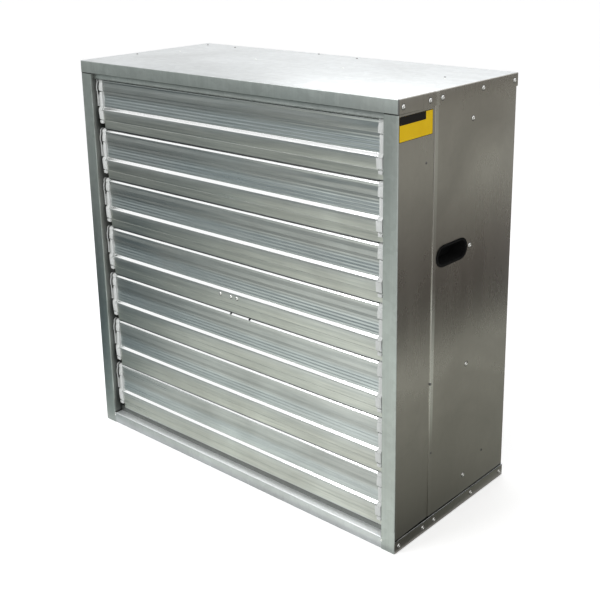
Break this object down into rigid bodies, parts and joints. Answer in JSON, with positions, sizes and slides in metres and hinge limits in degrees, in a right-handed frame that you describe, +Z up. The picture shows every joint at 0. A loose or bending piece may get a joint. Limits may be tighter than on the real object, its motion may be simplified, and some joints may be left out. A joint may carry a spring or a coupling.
{
  "type": "industrial exhaust fan",
  "caption": "Belt-drive box exhaust fan with a square sheet-metal case, a push-open shutter of ribbed slats, a bladed impeller in a throat ring and a rear wire guard.",
  "frame": {"origin": "on the floor under the middle of the case", "axes": "+X to the right as seen from the front, +Y from the shutter front to the intake at the rear, +Z up"},
  "size_m": [0.9, 0.4, 0.9],
  "materials": {
    "galvanised_sheet": "galvanised, faintly streaked",
    "aluminium_slat": "rolled, brushed along the slat",
    "white_nylon": "moulded, slightly grey",
    "black_plastic": "moulded, fine grain",
    "guard_wire": "galvanised wire",
    "cast_metal": "cast and turned",
    "turned_steel": "turned bright",
    "grey_paint": "satin paint",
    "belt_rubber": "wrapped belt"
  },
  "bodies": {
    "case": {"top_panel": "galvanised_sheet", "bottom_panel": "galvanised_sheet", "left_front_side_panel": "galvanised_sheet", "right_front_side_panel": "galvanised_sheet", "left_rear_side_panel": "galvanised_sheet", "right_rear_side_panel": "galvanised_sheet", "handle_cup_left": "black_plastic", "handle_cup_right": "black_plastic", "head_rail": "galvanised_sheet", "shutter_jamb_left": "galvanised_sheet", "shutter_jamb_right": "galvanised_sheet", "venturi_panel": "galvanised_sheet", "venturi_ring": "galvanised_sheet", "rear_guard": "guard_wire", "bearing_housing": "cast_metal", "support_beam_left": "grey_paint", "support_beam_right": "grey_paint", "belt": "belt_rubber", "motor_plate": "galvanised_sheet", "motor_body": "grey_paint", "terminal_box": "grey_paint", "cable_gland": "black_plastic"},
    "shutter_1": {"slat_1": "aluminium_slat", "left_end_cap_1": "white_nylon", "right_end_cap_1": "white_nylon"},
    "shutter_2": {"slat_2": "aluminium_slat", "left_end_cap_2": "white_nylon", "right_end_cap_2": "white_nylon"},
    "shutter_3": {"slat_3": "aluminium_slat", "left_end_cap_3": "white_nylon", "right_end_cap_3": "white_nylon"},
    "shutter_4": {"slat_4": "aluminium_slat", "left_end_cap_4": "white_nylon", "right_end_cap_4": "white_nylon", "push_bracket": "galvanised_sheet"},
    "shutter_5": {"slat_5": "aluminium_slat", "left_end_cap_5": "white_nylon", "right_end_cap_5": "white_nylon"},
    "shutter_6": {"slat_6": "aluminium_slat", "left_end_cap_6": "white_nylon", "right_end_cap_6": "white_nylon"},
    "shutter_7": {"slat_7": "aluminium_slat", "left_end_cap_7": "white_nylon", "right_end_cap_7": "white_nylon"},
    "tie_link": {"tie_bar": "galvanised_sheet"},
    "impeller": {"impeller_hub": "cast_metal", "blade_1": "galvanised_sheet", "blade_2": "galvanised_sheet", "blade_3": "galvanised_sheet", "blade_4": "galvanised_sheet", "blade_5": "galvanised_sheet", "blade_6": "galvanised_sheet", "fan_shaft": "turned_steel", "fan_pulley": "cast_metal", "opener_housing": "cast_metal"},
    "opener_rod": {"push_rod": "turned_steel"},
    "left_weight": {"opener_weight_left": "cast_metal"},
    "right_weight": {"opener_weight_right": "cast_metal"},
    "motor_rotor": {"motor_shaft": "turned_steel", "motor_pulley": "cast_metal"}
  },
  "joints": [
    {"name": "shutter_hinge_4", "type": "hinge", "parent": "case", "child": "shutter_4", "pos_m": [0, -0.178, 0.5018], "axis": [-1, 0, 0], "range_deg": [0, 70]},
    {"name": "shutter_hinge_1", "type": "hinge", "parent": "case", "child": "shutter_1", "pos_m": [0, -0.178, 0.8546], "axis": [-1, 0, 0], "range_deg": [0, 70]},
    {"name": "shutter_hinge_2", "type": "hinge", "parent": "case", "child": "shutter_2", "pos_m": [0, -0.178, 0.737], "axis": [-1, 0, 0], "range_deg": [0, 70]},
    {"name": "shutter_hinge_3", "type": "hinge", "parent": "case", "child": "shutter_3", "pos_m": [0, -0.178, 0.6194], "axis": [-1, 0, 0], "range_deg": [0, 70]},
    {"name": "shutter_hinge_5", "type": "hinge", "parent": "case", "child": "shutter_5", "pos_m": [0, -0.178, 0.3842], "axis": [-1, 0, 0], "range_deg": [0, 70]},
    {"name": "shutter_hinge_6", "type": "hinge", "parent": "case", "child": "shutter_6", "pos_m": [0, -0.178, 0.2666], "axis": [-1, 0, 0], "range_deg": [0, 70]},
    {"name": "shutter_hinge_7", "type": "hinge", "parent": "case", "child": "shutter_7", "pos_m": [0, -0.178, 0.149], "axis": [-1, 0, 0], "range_deg": [0, 70]},
    {"name": "tie_pivot", "type": "hinge", "parent": "shutter_4", "child": "tie_link", "pos_m": [0.05325, -0.15, 0.5138], "axis": [-1, 0, 0], "range_deg": [-70, 0]},
    {"name": "impeller_spin", "type": "hinge", "parent": "case", "child": "impeller", "pos_m": [0, 0, 0.45], "axis": [0, 1, 0], "continuous": true},
    {"name": "motor_spin", "type": "hinge", "parent": "case", "child": "motor_rotor", "pos_m": [0.345, 0, 0.115], "axis": [0, 1, 0], "continuous": true},
    {"name": "rod_slide", "type": "slide", "parent": "impeller", "child": "opener_rod", "axis": [0, -1, 0], "range_m": [0, 0.05]},
    {"name": "left_weight_swing", "type": "hinge", "parent": "impeller", "child": "left_weight", "pos_m": [-0.042, -0.078, 0.45], "axis": [0, 0, 1], "range_deg": [0, 60]},
    {"name": "right_weight_swing", "type": "hinge", "parent": "impeller", "child": "right_weight", "pos_m": [0.042, -0.078, 0.45], "axis": [0, 0, -1], "range_deg": [0, 60]}
  ],
  "couplings": [
    {"joint": "shutter_hinge_1", "follows": "shutter_hinge_4", "ratio": 1},
    {"joint": "shutter_hinge_2", "follows": "shutter_hinge_4", "ratio": 1},
    {"joint": "shutter_hinge_3", "follows": "shutter_hinge_4", "ratio": 1},
    {"joint": "shutter_hinge_5", "follows": "shutter_hinge_4", "ratio": 1},
    {"joint": "shutter_hinge_6", "follows": "shutter_hinge_4", "ratio": 1},
    {"joint": "shutter_hinge_7", "follows": "shutter_hinge_4", "ratio": 1},
    {"joint": "tie_pivot", "follows": "shutter_hinge_4", "ratio": -1},
    {"joint": "rod_slide", "follows": "shutter_hinge_4", "m_per_rad": 0.04},
    {"joint": "left_weight_swing", "follows": "shutter_hinge_4", "ratio": 0.85},
    {"joint": "right_weight_swing", "follows": "shutter_hinge_4", "ratio": 0.85},
    {"joint": "motor_spin", "follows": "impeller_spin", "ratio": 2.5}
  ]
}
